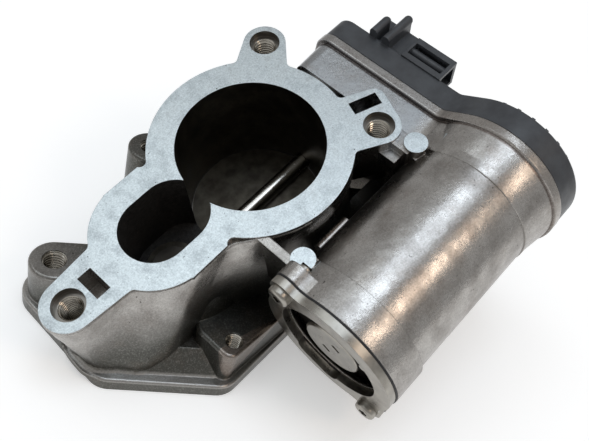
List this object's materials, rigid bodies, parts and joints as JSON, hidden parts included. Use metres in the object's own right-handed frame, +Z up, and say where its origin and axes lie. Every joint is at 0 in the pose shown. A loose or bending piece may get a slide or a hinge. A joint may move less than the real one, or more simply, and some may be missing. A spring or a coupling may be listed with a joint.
{
  "type": "exhaust gas recirculation valve",
  "caption": "Cast valve body with a keyhole throat, an inclined base flange and a geared motor that turns a throttle flap and a gas flap on one shaft.",
  "frame": {"origin": "where the main bore's axis meets the base face", "axes": "+Z up from the base face, +X towards the gear end, motor at -Y; the bore leans 23 degrees in the XZ plane"},
  "size_m": [0.1665, 0.136, 0.0932],
  "materials": {
    "die_cast_aluminium": "as-cast, machined on the flange faces",
    "ground_steel": "ground",
    "zinc_steel": "zinc plated",
    "stainless_plate": "stained by heat",
    "cover_plastic": "moulded",
    "gear_plastic": "moulded",
    "black_rubber": "moulded",
    "seal_bead": "dispensed bead",
    "bronze": "sintered",
    "copper": "enamelled wire",
    "dark_steel": "phosphated",
    "ferrite": "sintered",
    "circuit_board": "lacquered",
    "tin": "tinned"
  },
  "bodies": {
    "housing": {"valve_housing": "die_cast_aluminium", "egr_seat_ring": "stainless_plate", "shaft_bush": "bronze", "shaft_seal": "black_rubber", "shaft_bearing": "ground_steel", "return_spring": "ground_steel", "gear_pin": "ground_steel", "motor_can": "dark_steel", "motor_bearing_cap": "zinc_steel", "rear_motor_bush": "bronze", "field_magnets": "ferrite", "motor_end_shield": "cover_plastic", "brushes": "ferrite", "front_motor_bush": "bronze", "end_cap_plate": "zinc_steel", "end_cap_gasket": "black_rubber", "end_cap_screws": "zinc_steel", "wave_washer": "ground_steel", "cover_gasket": "seal_bead", "gear_cover": "cover_plastic", "cover_screws": "zinc_steel", "sensor_board": "circuit_board", "connector_pins": "tin"},
    "flap": {"flap_shaft": "ground_steel", "throttle_plate": "stainless_plate", "throttle_plate_screws": "zinc_steel", "egr_plate": "stainless_plate", "egr_plate_screw": "zinc_steel", "sector_gear": "gear_plastic", "sensor_magnet": "ferrite"},
    "intermediate": {"intermediate_gear": "gear_plastic"},
    "rotor": {"motor_spindle": "ground_steel", "rotor_core": "dark_steel", "rotor_windings": "copper", "commutator": "copper", "motor_pinion": "ground_steel"}
  },
  "joints": [
    {"name": "rotor_spin", "type": "hinge", "parent": "housing", "child": "rotor", "pos_m": [-0.0186, -0.0615, 0.04382], "axis": [0.9205, 0, 0.3907], "range_deg": [0, 1417.14]},
    {"name": "intermediate_spin", "type": "hinge", "parent": "housing", "child": "intermediate", "pos_m": [-0.01132, -0.03798, 0.02668], "axis": [0.9205, 0, 0.3907], "range_deg": [-354.29, 0]},
    {"name": "flap_turn", "type": "hinge", "parent": "housing", "child": "flap", "pos_m": [-0.01078, 0, 0.02541], "axis": [0.9205, 0, 0.3907], "range_deg": [0, 80], "stiffness_Nm_per_rad": 0.2, "springref_deg": -22.92}
  ],
  "couplings": [
    {"joint": "intermediate_spin", "follows": "rotor_spin", "ratio": -0.25},
    {"joint": "flap_turn", "follows": "rotor_spin", "ratio": 0.056452}
  ]
}
